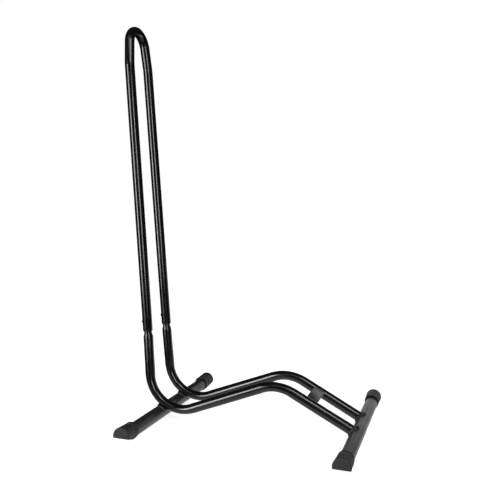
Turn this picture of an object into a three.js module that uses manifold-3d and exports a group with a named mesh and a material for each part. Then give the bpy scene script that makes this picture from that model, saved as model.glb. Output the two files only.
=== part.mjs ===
// Floor rack for one bicycle wheel, in bent and welded round steel tube.
// Millimetres, +Z up. X runs from the upright hoop to the low rear crossbar, Y across the rack.
// The wheel rolls in between the two rails, over their hump, and leans between the hoop's legs.

import * as THREE from 'three';
import { mergeVertices } from 'three/addons/utils/BufferGeometryUtils.js';
import Module from 'manifold-3d';

const wasm = await Module();
wasm.setup();

// ---- Driving sizes -------------------------------------------------------

// Tubes
const RAIL_OD = 19; // rails and hoop are bent from the same tube
const RAIL_WALL = 1.5;
const BAR_OD = 25; // the two crossbars
const BAR_WALL = 1.5;

// Footprint
const RACK_WIDTH = 413; // across the faces of the end caps
const WHEELBASE = 391; // between the axes of the two crossbars

// Side view of the rails
const SEAT_ANGLE = 30; // degrees from plumb, where the bottom bend lies on the front bar
const BOTTOM_BEND_RADIUS = 69; // centre line
const RISE_ANGLE = 21.2; // degrees, from the bottom bend up to the hump
const HUMP_REACH = 240.5; // front bar's axis to the hump's corner, before rounding
const HUMP_BEND_RADIUS = 75; // centre line
const REAR_AIM = 2.5; // how far above the rear bar's axis the rails aim
const LEAN_ANGLE = 4.8; // degrees, how far the uprights lean away from the rear bar

// Distances between the two rails, axis to axis
const REAR_SPACING = 83.5;
const FRONT_SPACING = 97.5;
const JOINT_SPACING = 85.5;
const HOOP_NECK_SPACING = 79.3; // where the legs start to close in
const HOOP_CROWN_SPACING = 57.5; // between the crown's corners, before rounding

// Heights above the floor
const SHOULDER_HEIGHT = 163; // top of each upright stub, where its tube is swaged down
const HOOP_END_HEIGHT = 174; // lower end of the hoop's legs
const RACK_HEIGHT = 791.5; // top of the hoop
const HOOP_CROWN_DROP = 72; // from the crown's centre line to where the legs start to close in
const HOOP_EASE_RADIUS = 120; // of the slight bend there, centre line
const CROWN_BEND_SHARE = 0.998; // of the crown's width, taken up by its two bends

// Swaged neck that the hoop's leg slides over
const NECK_CONE = 6;
const NECK_INSERTION = 34; // inside the leg
const NECK_WALL = 1.5;
const NECK_CHAMFER = 1;

// Lock screws
const SCREW_RISE = 19.5; // above the hoop's end
const SCREW_DIAMETER = 4;
const SCREW_REACH = 7; // under the head
const SCREW_TIP = 1; // chamfer of the end
const SCREW_HEAD_DIAMETER = 7.6;
const SCREW_HEAD_HEIGHT = 1.9;
const SCREW_SLOT_WIDTH = 1;
const SCREW_SLOT_DEPTH = 0.9;

// Wheel stop, a plate across the rails behind the hump
const STOP_SETBACK = 70.5; // hump's corner to the plate's middle, along the rails
const STOP_LENGTH = 23; // along the rails
const STOP_THICKNESS = 2;
const STOP_CORNER = 6.5;
const STOP_LIFT = 7.9; // its underside above the rails' axes

// End caps: a half-round nose lifted off the floor, a short sleeve and a plug in the bar
const CAP_OD = 32; // of the nose
const CAP_OFFSET = 2.8; // the nose's round is this much higher than the bar's axis
const CAP_LEDGE = -0.6; // the outer face's flat lower edge above the bar's axis
const CAP_UNDERCUT = 0.34; // fall of the nose's flat underside, per length
const CAP_NOSE = 36; // from the outer face to the end of the bar
const CAP_SLEEVE = 5; // overlap on the bar
const CAP_SLEEVE_WALL = 1.4;
const CAP_HEEL = 7; // length over which the underside drops to the sole
const CAP_SOLE_CUT = 0.8; // taken off the sleeve's round for the flat sole
const CAP_PLUG = 14; // inside the bar
const CAP_WALL = 2.5; // of the face, the underside and the plug
const CAP_ROUNDING = 3; // round the rim of the outer face
const CAP_TAPER = 1.8; // how much the round narrows from the face to the mouth
const CAP_GROOVE_AT = 14; // from the outer face
const CAP_GROOVE_WIDTH = 1.6;
const CAP_GROOVE_DEPTH = 0.9;
const CAP_LIP_WIDTH = 2;
const CAP_LIP_RISE = 0.3;

// Welds
const WELD_RADIUS = 2.6; // of the bead's section
const WELD_SPREAD = 8; // from the middle of a front seat to its bead
const WELD_SAG = 1.3; // how far the front bead dips and rises on its way round

const CLEARANCE = 0.3; // between pieces that touch

// Facets
const TUBE_SIDES = 24;
const BORE_SIDES = 12;
const BAR_SIDES = 28;
const PLUG_SIDES = 16;
const BEND_STEP = THREE.MathUtils.degToRad(8.5); // turn between two rings of a bend
const CAP_SIDES = 28;
const SCREW_SIDES = 16;
const WELD_SIDES = 7;
const WELD_RINGS = 20;
const CORNER_SEGMENTS = 3;

// ---- Worked out from the sizes ---------------------------------------------

const railRadius = RAIL_OD / 2;
const barRadius = BAR_OD / 2;
const capRadius = CAP_OD / 2;
const railBore = railRadius - RAIL_WALL;
const barBore = barRadius - BAR_WALL;
const neckRadius = railBore - CLEARANCE;
const neckBore = neckRadius - NECK_WALL;
const sleeveRadius = barRadius + CLEARANCE + CAP_SLEEVE_WALL;
const axisHeight = sleeveRadius - CAP_SOLE_CUT; // of both crossbars
const capLength = CAP_NOSE + CAP_SLEEVE;
const barLength = RACK_WIDTH - 2 * CAP_NOSE - 2 * CLEARANCE;
const lean = THREE.MathUtils.degToRad(LEAN_ANGLE);
const rise = THREE.MathUtils.degToRad(RISE_ANGLE);
const seat = THREE.MathUtils.degToRad(SEAT_ANGLE);
const overrun = 10; // how far a cutting solid runs past what it cuts

const steel = (color, roughness) => new THREE.MeshStandardMaterial({ color, roughness, metalness: 0.35 });
const glossBlack = steel(0x17181a, 0.22);
const satinBlack = steel(0x232426, 0.42);
const weldBlack = steel(0x1b1c1e, 0.5);
const capPlastic = new THREE.MeshStandardMaterial({ color: 0x2a2a2b, roughness: 0.6, metalness: 0 });
const zincSteel = new THREE.MeshStandardMaterial({ color: 0x2c2d30, roughness: 0.35, metalness: 0.8 });

// ---- The rails' side view, measured from the front bar's axis ---------------

// Centre of the bottom bend: the bend's outside rests on the front bar.
const seatReach = BOTTOM_BEND_RADIUS + railRadius + barRadius + CLEARANCE;
const bendCentre = new THREE.Vector2(
  seatReach * Math.sin(seat),
  axisHeight + seatReach * Math.cos(seat),
);
const contactNormal = new THREE.Vector3(Math.sin(seat), 0, Math.cos(seat));

/** Point of the upright's line at a height. */
function uprightAt(height) {
  const start = bendCentre.clone();
  start.x -= BOTTOM_BEND_RADIUS * Math.cos(lean);
  start.y -= BOTTOM_BEND_RADIUS * Math.sin(lean);
  return new THREE.Vector2(start.x - (height - start.y) * Math.tan(lean), height);
}

/** Height of the rising stretch's line at a reach from the front bar. */
function risingHeight(reach) {
  const start = bendCentre.clone();
  start.x += BOTTOM_BEND_RADIUS * Math.sin(rise);
  start.y -= BOTTOM_BEND_RADIUS * Math.cos(rise);
  return start.y + (reach - start.x) * Math.tan(rise);
}

/** Corner under the bottom bend, where the upright's line meets the rising one. */
function bottomCorner() {
  const top = uprightAt(SHOULDER_HEIGHT);
  const slope = Math.tan(rise);
  const drop = top.y - risingHeight(top.x);
  const fall = drop / (1 + slope * Math.tan(lean));
  return uprightAt(top.y - fall);
}

const bottom = bottomCorner();
const hump = new THREE.Vector2(HUMP_REACH, risingHeight(HUMP_REACH));
const rearEnd = new THREE.Vector2(WHEELBASE, axisHeight + REAR_AIM);
const fallAngle = Math.atan2(hump.y - rearEnd.y, rearEnd.x - hump.x);

/** Half the distance between the rails at a reach from the front bar. */
function railOffset(reach) {
  return THREE.MathUtils.mapLinear(reach, 0, WHEELBASE, FRONT_SPACING, REAR_SPACING) / 2;
}

/** A point of the side view at an offset across the rack. */
function place(point, offset) {
  return new THREE.Vector3(point.x, offset, point.y);
}

// ---- Sweeps -------------------------------------------------------------------

/** A path that is read only at its stations: rings stand close in the bends and far apart between. */
class StationPath extends THREE.Curve {
  constructor(stations) {
    super();
    this.stations = stations;
  }

  stationAt(u) {
    return this.stations[Math.round(u * (this.stations.length - 1))];
  }

  getPoint(u, target = new THREE.Vector3()) {
    return target.copy(this.stationAt(u).point);
  }

  getPointAt(u, target = new THREE.Vector3()) {
    return this.getPoint(u, target);
  }

  getTangentAt(u, target = new THREE.Vector3()) {
    return target.copy(this.stationAt(u).tangent);
  }
}

/** Stations along straight stretches joined by round bends, one radius for each inner corner. */
function bentPath(corners, radii) {
  const directionTo = (i) => corners[i + 1].clone().sub(corners[i]).normalize();
  const stations = [{ point: corners[0], tangent: directionTo(0) }];
  for (let i = 1; i < corners.length - 1; i += 1) {
    const before = directionTo(i - 1);
    const after = directionTo(i);
    const turn = before.angleTo(after);
    const radius = radii[i - 1];
    const start = corners[i].clone().addScaledVector(before, -radius * Math.tan(turn / 2));
    const inward = after.clone().addScaledVector(before, -after.dot(before)).normalize();
    const centre = start.clone().addScaledVector(inward, radius);
    const steps = Math.ceil(turn / BEND_STEP);
    for (let k = 0; k <= steps; k += 1) {
      const angle = (turn * k) / steps;
      const tangent = before.clone().multiplyScalar(Math.cos(angle)).addScaledVector(inward, Math.sin(angle));
      const point = centre.clone().addScaledVector(before, radius * Math.sin(angle));
      point.addScaledVector(inward, -radius * Math.cos(angle));
      stations.push({ point, tangent });
    }
  }
  const last = corners.length - 1;
  stations.push({ point: corners[last], tangent: directionTo(last - 1) });
  return new StationPath(stations);
}

/** Points of a regular outline round the origin. */
function ring(radius, sides) {
  return Array.from({ length: sides }, (_, k) => {
    const angle = (2 * Math.PI * k) / sides;
    return new THREE.Vector2(radius * Math.cos(angle), radius * Math.sin(angle));
  });
}

/** A round rod or, with a bore, a tube swept along a station path. */
function sweep(path, radius, bore = 0) {
  const section = new THREE.Shape(ring(radius, TUBE_SIDES));
  if (bore > 0) {
    section.holes.push(new THREE.Path(ring(bore, BORE_SIDES)));
  }
  const steps = path.stations.length - 1;
  return new THREE.ExtrudeGeometry(section, { steps, extrudePath: path, bevelEnabled: false });
}

// ---- Solids ----------------------------------------------------------------------

/** A closed geometry as a solid that can be joined and cut. */
function solid(geometry) {
  const bare = geometry.index ? geometry.toNonIndexed() : geometry.clone();
  bare.deleteAttribute('normal');
  bare.deleteAttribute('uv');
  const welded = mergeVertices(bare, 1e-4);
  const mesh = new wasm.Mesh({
    numProp: 3,
    vertProperties: new Float32Array(welded.attributes.position.array),
    triVerts: new Uint32Array(welded.index.array),
  });
  return new wasm.Manifold(mesh);
}

/** A solid back as a geometry. */
function geometryOf(body) {
  const mesh = body.getMesh();
  const geometry = new THREE.BufferGeometry();
  geometry.setAttribute('position', new THREE.BufferAttribute(new Float32Array(mesh.vertProperties), 3));
  geometry.setIndex(new THREE.BufferAttribute(new Uint32Array(mesh.triVerts), 1));
  geometry.computeVertexNormals();
  return geometry;
}

/** A cylinder from one point along a direction. */
function rod(radius, from, direction, length, sides = TUBE_SIDES) {
  const geometry = new THREE.CylinderGeometry(radius, radius, length, sides);
  geometry.translate(0, length / 2, 0);
  const up = new THREE.Vector3(0, 1, 0);
  geometry.applyQuaternion(new THREE.Quaternion().setFromUnitVectors(up, direction.clone().normalize()));
  return geometry.translate(from.x, from.y, from.z);
}

/** A round solid turned about +Y from points of radius and height. */
function turned(points, sides) {
  return new THREE.LatheGeometry(points.map(([radius, height]) => new THREE.Vector2(radius, height)), sides);
}

/** The room a crossbar takes with its clearance, at its reach from the front bar. */
function barRoom(reach) {
  const from = new THREE.Vector3(reach, -barLength / 2, axisHeight);
  return solid(rod(barRadius + CLEARANCE, from, new THREE.Vector3(0, 1, 0), barLength, BAR_SIDES));
}

// ---- Crossbars ---------------------------------------------------------------------

/** A straight tube along Y, open at both ends. */
function crossbar(name, reach) {
  const section = new THREE.Shape(ring(barRadius, BAR_SIDES));
  section.holes.push(new THREE.Path(ring(barBore, BAR_SIDES)));
  const geometry = new THREE.ExtrudeGeometry(section, { depth: barLength, bevelEnabled: false });
  geometry.translate(0, 0, -barLength / 2).rotateX(Math.PI / 2);
  const mesh = new THREE.Mesh(geometry, satinBlack);
  mesh.name = name;
  mesh.position.set(reach, 0, axisHeight);
  return mesh;
}

// ---- Hoop ----------------------------------------------------------------------------

const topHeight = RACK_HEIGHT - railRadius; // of the hoop's centre line

/** Centre of a leg at a height, on the side of the rack given by a sign. */
function legAt(height, side) {
  const spacing = THREE.MathUtils.mapLinear(
    height,
    SHOULDER_HEIGHT,
    topHeight - HOOP_CROWN_DROP,
    JOINT_SPACING,
    HOOP_NECK_SPACING,
  );
  return place(uprightAt(height), (side * spacing) / 2);
}

/** Direction of a leg, upwards. */
function legDirection(side) {
  return legAt(topHeight, side).sub(legAt(SHOULDER_HEIGHT, side)).normalize();
}

/** Where the lock screw stands on a leg's outside, and which way it points. */
function screwSeat(side) {
  const axis = legDirection(side);
  const outward = new THREE.Vector3(-1, 0, 0).addScaledVector(axis, axis.x).normalize();
  const centre = legAt(HOOP_END_HEIGHT, side).addScaledVector(axis, SCREW_RISE);
  return { centre, outward };
}

/** The hole for a lock screw through the near walls of leg and neck. */
function screwHole(side) {
  const { centre, outward } = screwSeat(side);
  return solid(rod(SCREW_DIAMETER / 2 + CLEARANCE, centre, outward, railRadius + overrun, SCREW_SIDES));
}

/** One tube bent to a narrow inverted U, its legs closing in under the crown. */
function hoop() {
  const crown = (side) => place(uprightAt(topHeight), (side * HOOP_CROWN_SPACING) / 2);
  const ease = (side) => legAt(topHeight - HOOP_CROWN_DROP, side);
  const corners = [
    legAt(HOOP_END_HEIGHT, -1),
    ease(-1),
    crown(-1),
    crown(1),
    ease(1),
    legAt(HOOP_END_HEIGHT, 1),
  ];
  const turn = crown(-1).sub(ease(-1)).angleTo(new THREE.Vector3(0, 1, 0));
  const crownRadius = (CROWN_BEND_SHARE * HOOP_CROWN_SPACING) / 2 / Math.tan(turn / 2);
  const radii = [HOOP_EASE_RADIUS, crownRadius, crownRadius, HOOP_EASE_RADIUS];
  const tube = solid(sweep(bentPath(corners, radii), railRadius, railBore));
  const drilled = tube.subtract(screwHole(-1)).subtract(screwHole(1));
  const mesh = new THREE.Mesh(geometryOf(drilled), glossBlack);
  mesh.name = 'wheel_hoop';
  return mesh;
}

// ---- Rails ---------------------------------------------------------------------------------

/** Centre line of a rail from its shoulder down to the rear bar's axis. */
function railPath(side) {
  const corners = [
    legAt(SHOULDER_HEIGHT, side),
    place(bottom, side * railOffset(bottom.x)),
    place(hump, side * railOffset(hump.x)),
    place(rearEnd, side * railOffset(rearEnd.x)),
  ];
  return bentPath(corners, [BOTTOM_BEND_RADIUS, HUMP_BEND_RADIUS]);
}

/** Round steps of the swaged end about +Y, from inside the tube up to the neck's mouth. */
function neck(side, outside) {
  const root = railRadius - RAIL_WALL / 3; // buried in the tube's wall
  const height = (HOOP_END_HEIGHT - SHOULDER_HEIGHT) / Math.cos(lean) + NECK_INSERTION;
  const profile = outside
    ? [
        [0, -RAIL_WALL],
        [root, -RAIL_WALL],
        [root, 0],
        [neckRadius, NECK_CONE],
        [neckRadius, height - NECK_CHAMFER],
        [neckRadius - NECK_CHAMFER, height],
        [0, height],
      ]
    : [
        [0, -2 * RAIL_WALL],
        [neckBore, -2 * RAIL_WALL],
        [neckBore, height + overrun],
        [0, height + overrun],
      ];
  const geometry = turned(profile, outside ? TUBE_SIDES : BORE_SIDES);
  const up = new THREE.Vector3(0, 1, 0);
  geometry.applyQuaternion(new THREE.Quaternion().setFromUnitVectors(up, legDirection(side)));
  const foot = legAt(SHOULDER_HEIGHT, side);
  return solid(geometry.translate(foot.x, foot.y, foot.z));
}

/** One rail: upright stub with its neck, bottom bend, rise, hump and fall, coped to the rear bar. */
function rail(name, side) {
  const path = railPath(side);
  const inner = path.stations.slice(1);
  const foot = path.stations[0];
  const boreTop = { ...foot, point: foot.point.clone().addScaledVector(foot.tangent, RAIL_WALL) };
  const outside = solid(sweep(path, railRadius)).add(neck(side, true));
  const bore = solid(sweep(new StationPath([boreTop, ...inner]), railBore)).add(neck(side, false));
  const tube = outside.subtract(bore).subtract(barRoom(WHEELBASE)).subtract(screwHole(side));
  const mesh = new THREE.Mesh(geometryOf(tube), glossBlack);
  mesh.name = name;
  return mesh;
}

// ---- Wheel stop ------------------------------------------------------------------------------

/** Plate across the rails' shoulders, its corners rounded, as wide as the rails stand apart there. */
function wheelStop() {
  const middle = HUMP_REACH + STOP_SETBACK * Math.cos(fallAngle);
  const grip = Math.sqrt((railRadius + CLEARANCE) ** 2 - STOP_LIFT ** 2); // rail's half width up there
  const halfWidthAt = (along) => railOffset(middle + along * Math.cos(fallAngle)) - grip;
  const half = STOP_LENGTH / 2;
  const outline = [
    new THREE.Vector2(-half, -halfWidthAt(-half)),
    new THREE.Vector2(half, -halfWidthAt(half)),
    new THREE.Vector2(half, halfWidthAt(half)),
    new THREE.Vector2(-half, halfWidthAt(-half)),
  ];
  const shape = new THREE.Shape();
  outline.forEach((corner, k) => {
    const before = outline[(k + outline.length - 1) % outline.length];
    const after = outline[(k + 1) % outline.length];
    const enter = corner.clone().add(before.clone().sub(corner).setLength(STOP_CORNER));
    const leave = corner.clone().add(after.clone().sub(corner).setLength(STOP_CORNER));
    if (k === 0) {
      shape.moveTo(enter.x, enter.y);
    } else {
      shape.lineTo(enter.x, enter.y);
    }
    shape.quadraticCurveTo(corner.x, corner.y, leave.x, leave.y);
  });
  const geometry = new THREE.ExtrudeGeometry(shape, {
    depth: STOP_THICKNESS,
    bevelEnabled: false,
    curveSegments: CORNER_SEGMENTS,
  });
  const mesh = new THREE.Mesh(geometry, satinBlack);
  mesh.name = 'wheel_stop_plate';
  const fall = new THREE.Vector3(Math.cos(fallAngle), 0, -Math.sin(fallAngle));
  const normal = new THREE.Vector3(Math.sin(fallAngle), 0, Math.cos(fallAngle));
  mesh.position.copy(place(hump, 0)).addScaledVector(fall, STOP_SETBACK).addScaledVector(normal, STOP_LIFT);
  mesh.rotation.y = fallAngle;
  return mesh;
}

// ---- End caps ------------------------------------------------------------------------------------

/** Everything under the nose: its falling underside and the heel down to the sole, raised by a wall. */
function undercut(raised = 0) {
  const start = raised + CAP_LEDGE;
  const heel = CAP_NOSE - CAP_SLEEVE_WALL - CAP_HEEL;
  const outline = new THREE.Shape();
  outline.moveTo(-overrun, start);
  outline.lineTo(0, start);
  outline.lineTo(heel, start - CAP_UNDERCUT * heel);
  outline.lineTo(heel + CAP_HEEL, raised - axisHeight);
  outline.lineTo(heel + CAP_HEEL, -CAP_OD);
  outline.lineTo(-overrun, -CAP_OD);
  const geometry = new THREE.ExtrudeGeometry(outline, { depth: 2 * CAP_OD, bevelEnabled: false });
  const axes = new THREE.Matrix4().makeBasis(
    new THREE.Vector3(0, 1, 0),
    new THREE.Vector3(0, 0, 1),
    new THREE.Vector3(1, 0, 0),
  );
  return solid(geometry.translate(0, 0, -CAP_OD).applyMatrix4(axes));
}

/** Everything under the floor, as long as a cap. */
function underSole() {
  const block = new THREE.BoxGeometry(2 * CAP_OD, 2 * capLength, overrun);
  return solid(block.translate(0, capLength / 2, -axisHeight - overrun / 2));
}

/** The nose's round about +Y, with its rounded face, groove and lip. */
function noseRound() {
  const rim = capRadius - CAP_ROUNDING;
  const radiusAt = (depth) => capRadius - (CAP_TAPER * depth) / capLength;
  const groove = radiusAt(CAP_GROOVE_AT) - CAP_GROOVE_DEPTH;
  const grooveEnd = CAP_GROOVE_AT + CAP_GROOVE_WIDTH;
  const lip = radiusAt(capLength) + CAP_LIP_RISE;
  const profile = [[0, 0], [rim, 0]];
  for (let k = 1; k <= CORNER_SEGMENTS; k += 1) {
    const angle = (k * Math.PI) / 2 / CORNER_SEGMENTS;
    profile.push([rim + CAP_ROUNDING * Math.sin(angle), CAP_ROUNDING * (1 - Math.cos(angle))]);
  }
  profile.push(
    [radiusAt(CAP_GROOVE_AT), CAP_GROOVE_AT],
    [groove, CAP_GROOVE_AT + CAP_GROOVE_WIDTH / 3],
    [groove, grooveEnd - CAP_GROOVE_WIDTH / 3],
    [radiusAt(grooveEnd), grooveEnd],
    [radiusAt(capLength), capLength - CAP_LIP_WIDTH - CAP_LIP_RISE],
    [lip, capLength - CAP_LIP_WIDTH],
    [lip, capLength - CAP_LIP_RISE],
    [radiusAt(capLength), capLength],
    [0, capLength],
  );
  return solid(turned(profile, CAP_SIDES).translate(0, 0, CAP_OFFSET));
}

/** Round from the middle of a cap inwards, about the bar's axis. */
function stepRound(radius, from, to, sides) {
  return solid(rod(radius, new THREE.Vector3(0, from, 0), new THREE.Vector3(0, 1, 0), to - from, sides));
}

/** Moulded cap: hollow half-round nose with groove and lip, sleeve with a flat sole, and plug. */
function capGeometry() {
  const plugEnd = CAP_NOSE + CAP_PLUG;
  const plugRadius = barBore - CLEARANCE;
  const sleeve = stepRound(sleeveRadius, CAP_NOSE - CAP_HEEL, capLength, CAP_SIDES);
  const socket = stepRound(barRadius + CLEARANCE, CAP_NOSE, capLength + overrun, BAR_SIDES);
  const plug = stepRound(plugRadius, CAP_NOSE - CAP_WALL, plugEnd, PLUG_SIDES);
  const hollow = stepRound(plugRadius - CAP_WALL, CAP_WALL, plugEnd + overrun, PLUG_SIDES);
  const noseLow = undercut(CAP_WALL).subtract(stepRound(CAP_OD, CAP_NOSE, 2 * plugEnd, PLUG_SIDES));
  const body = noseRound()
    .add(sleeve)
    .subtract(undercut())
    .subtract(socket)
    .add(plug)
    .subtract(hollow.subtract(noseLow))
    .subtract(underSole());
  return geometryOf(body);
}

/** A cap on one end of a crossbar. */
function endCap(name, geometry, reach, side) {
  const mesh = new THREE.Mesh(geometry, capPlastic);
  mesh.name = name;
  mesh.position.set(reach, (side * RACK_WIDTH) / 2, axisHeight);
  mesh.rotation.z = side > 0 ? Math.PI : 0;
  return mesh;
}

// ---- Lock screws --------------------------------------------------------------------------------------

/** Slotted pan-head screw about +Y, its head's underside at the origin. */
function screwGeometry() {
  const shank = SCREW_DIAMETER / 2;
  const head = SCREW_HEAD_DIAMETER / 2;
  const top = head / 2; // of the head's flat top
  const edge = SCREW_HEAD_HEIGHT / 3; // of the head's upright edge
  const profile = [
    [0, -SCREW_REACH],
    [shank - SCREW_TIP, -SCREW_REACH],
    [shank, SCREW_TIP - SCREW_REACH],
    [shank, 0],
    [head, 0],
    [head, edge],
  ];
  for (let k = 1; k <= CORNER_SEGMENTS; k += 1) {
    const angle = (k * Math.PI) / 2 / CORNER_SEGMENTS;
    profile.push([top + (head - top) * Math.cos(angle), edge + (SCREW_HEAD_HEIGHT - edge) * Math.sin(angle)]);
  }
  profile.push([0, SCREW_HEAD_HEIGHT]);
  const body = turned(profile, SCREW_SIDES);
  const slot = new THREE.BoxGeometry(SCREW_SLOT_WIDTH, 2 * SCREW_SLOT_DEPTH, 2 * SCREW_HEAD_DIAMETER);
  slot.translate(0, SCREW_HEAD_HEIGHT, 0);
  return geometryOf(solid(body).subtract(solid(slot)));
}

/** A screw that locks a leg of the hoop to the neck inside it. */
function lockScrew(name, geometry, side) {
  const { centre, outward } = screwSeat(side);
  const mesh = new THREE.Mesh(geometry, zincSteel);
  mesh.name = name;
  mesh.position.copy(centre).addScaledVector(outward, railRadius + CLEARANCE);
  mesh.quaternion.setFromUnitVectors(new THREE.Vector3(0, 1, 0), outward);
  return mesh;
}

// ---- Welds -----------------------------------------------------------------------------------------------

/** A closed bead laid along a loop, given as a function of its turn, round a centre. */
function bead(loop, centre) {
  const geometry = new THREE.TorusGeometry(1, 1, WELD_SIDES, WELD_RINGS);
  const position = geometry.attributes.position;
  const nudge = 1e-3;
  for (let j = 0; j <= WELD_SIDES; j += 1) {
    const around = (2 * Math.PI * (j % WELD_SIDES)) / WELD_SIDES;
    for (let i = 0; i <= WELD_RINGS; i += 1) {
      const turn = (2 * Math.PI * (i % WELD_RINGS)) / WELD_RINGS;
      const point = loop(turn);
      const tangent = loop(turn + nudge).sub(loop(turn - nudge)).normalize();
      const outward = point.clone().sub(centre);
      outward.addScaledVector(tangent, -outward.dot(tangent)).normalize();
      const upward = outward.clone().cross(tangent);
      point.addScaledVector(outward, WELD_RADIUS * Math.cos(around));
      point.addScaledVector(upward, WELD_RADIUS * Math.sin(around));
      position.setXYZ(j * (WELD_RINGS + 1) + i, point.x, point.y, point.z);
    }
  }
  return solid(geometry);
}

/** The room a rail takes with its clearance. */
function railRoom(side) {
  return solid(sweep(railPath(side), railRadius + CLEARANCE));
}

/** Bead round the seat of a rail's bottom bend on the front bar. */
function frontWeld(name, side) {
  const seatMiddle = new THREE.Vector3(0, side * railOffset(0), axisHeight);
  seatMiddle.addScaledVector(contactNormal, barRadius + CLEARANCE / 2);
  const along = new THREE.Vector3(Math.cos(seat), 0, -Math.sin(seat));
  const loop = (turn) => {
    const point = seatMiddle.clone().addScaledVector(along, WELD_SPREAD * Math.sin(turn));
    point.y += WELD_SPREAD * Math.cos(turn);
    return point.addScaledVector(contactNormal, WELD_SAG * Math.cos(2 * turn));
  };
  const body = bead(loop, seatMiddle).subtract(railRoom(side)).subtract(barRoom(0));
  const mesh = new THREE.Mesh(geometryOf(body), weldBlack);
  mesh.name = name;
  return mesh;
}

/** Bead round the coped end of a rail on the rear bar. */
function rearWeld(name, side) {
  const end = place(rearEnd, side * railOffset(rearEnd.x));
  const stations = railPath(side).stations;
  const back = stations[stations.length - 1].tangent.clone().negate();
  const across = new THREE.Vector3(0, 1, 0).addScaledVector(back, -back.y).normalize();
  const upward = back.clone().cross(across).negate();
  const reachOut = railRadius + CLEARANCE;
  const loop = (turn) => {
    const point = end.clone().addScaledVector(across, reachOut * Math.cos(turn));
    point.addScaledVector(upward, reachOut * Math.sin(turn));
    const flat = new THREE.Vector2(point.x - WHEELBASE, point.z - axisHeight);
    const way = new THREE.Vector2(back.x, back.z);
    const half = flat.dot(way) / way.lengthSq();
    const rest = (flat.lengthSq() - (barRadius + CLEARANCE) ** 2) / way.lengthSq();
    return point.addScaledVector(back, -half + Math.sqrt(half ** 2 - rest));
  };
  const middle = end.clone().addScaledVector(back, barRadius);
  const body = bead(loop, middle).subtract(railRoom(side)).subtract(barRoom(WHEELBASE));
  const mesh = new THREE.Mesh(geometryOf(body), weldBlack);
  mesh.name = name;
  return mesh;
}

// ---- Assembly -------------------------------------------------------------------------------------------------

const rack = new THREE.Group();
rack.add(crossbar('front_crossbar', 0), crossbar('rear_crossbar', WHEELBASE));
rack.add(hoop(), wheelStop());

const cap = capGeometry();
const screw = screwGeometry();
for (const [word, side] of [['near', -1], ['far', 1]]) {
  rack.add(rail(`${word}_rail`, side));
  rack.add(frontWeld(`${word}_front_weld`, side), rearWeld(`${word}_rear_weld`, side));
  rack.add(endCap(`${word}_front_cap`, cap, 0, side), endCap(`${word}_rear_cap`, cap, WHEELBASE, side));
  rack.add(lockScrew(`${word}_lock_screw`, screw, side));
}

// The origin is on the floor, under the middle of the rack's box.
const room = new THREE.Box3().setFromObject(rack);
const middle = room.getCenter(new THREE.Vector3());
rack.position.set(-middle.x, -middle.y, -room.min.z);

export default rack;
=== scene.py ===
"""Looks of a floor rack for one bicycle wheel: black coated tube, moulded end caps, a white studio.

Lengths are in millimetres, as on a drawing, and turn into metres where a mesh is made; the studio's
are in metres. X runs from the tall hoop to the low rear crossbar, Y across the rack from its near
side to its far side, Z up from the floor.
"""

import logging
import math
from dataclasses import dataclass, field
from enum import Enum
from typing import Callable, Optional, Sequence

import bmesh
import bpy
from mathutils import Matrix, Vector

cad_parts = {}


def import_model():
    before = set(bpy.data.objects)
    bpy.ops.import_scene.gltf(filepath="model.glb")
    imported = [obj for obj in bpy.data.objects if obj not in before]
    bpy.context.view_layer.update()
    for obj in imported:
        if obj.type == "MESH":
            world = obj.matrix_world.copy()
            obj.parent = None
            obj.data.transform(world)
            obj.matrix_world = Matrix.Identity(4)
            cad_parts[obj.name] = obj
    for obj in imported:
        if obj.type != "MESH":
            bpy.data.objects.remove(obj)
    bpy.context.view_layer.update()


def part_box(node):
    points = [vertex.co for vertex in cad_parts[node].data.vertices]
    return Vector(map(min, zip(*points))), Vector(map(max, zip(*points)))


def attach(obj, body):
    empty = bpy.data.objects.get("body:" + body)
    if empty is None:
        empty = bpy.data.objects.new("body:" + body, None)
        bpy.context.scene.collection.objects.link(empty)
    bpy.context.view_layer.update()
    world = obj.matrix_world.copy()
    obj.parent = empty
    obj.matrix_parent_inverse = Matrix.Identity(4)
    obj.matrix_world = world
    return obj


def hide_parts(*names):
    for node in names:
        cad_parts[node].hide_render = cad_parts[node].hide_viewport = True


log = logging.getLogger("rack")

MM = 0.001
CLEARANCE = 0.3  # between pieces that touch
ACROSS = Vector((0.0, 1.0, 0.0))
TUBE_SIDES = 96
BEND_STEP = math.radians(2.5)
ONSET = 0.5  # power of the sine by which a bend's flattening comes up and goes
WIDENING = 1 / 3  # share of that flattening by which the tube grows across the bend
SHARP = math.radians(38)  # an edge that turns by more than this is shaded sharp
EASED = math.radians(50)  # one that turns by more than this is rounded, on a moulding
EASE_STEPS = 3
NOISE_LOW, NOISE_HIGH = 0.3, 0.7  # nearly all of a noise's values lie between these
FLECK_FROM, FLECK_TO = 0.7, 0.8  # and its rare peaks between these
WHITE = "ffffff"


# --- Colours and shader nodes ---


def linear(colour: str) -> tuple[float, float, float, float]:
    """Turns an sRGB hex colour linear.

    Args:
        colour: Six hex digits.

    Returns:
        Linear red, green, blue and an alpha of 1.
    """
    channels = [int(colour[i : i + 2], 16) / 255 for i in (0, 2, 4)]
    values = [c / 12.92 if c <= 0.04045 else ((c + 0.055) / 1.055) ** 2.4 for c in channels]
    return (values[0], values[1], values[2], 1.0)


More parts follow.
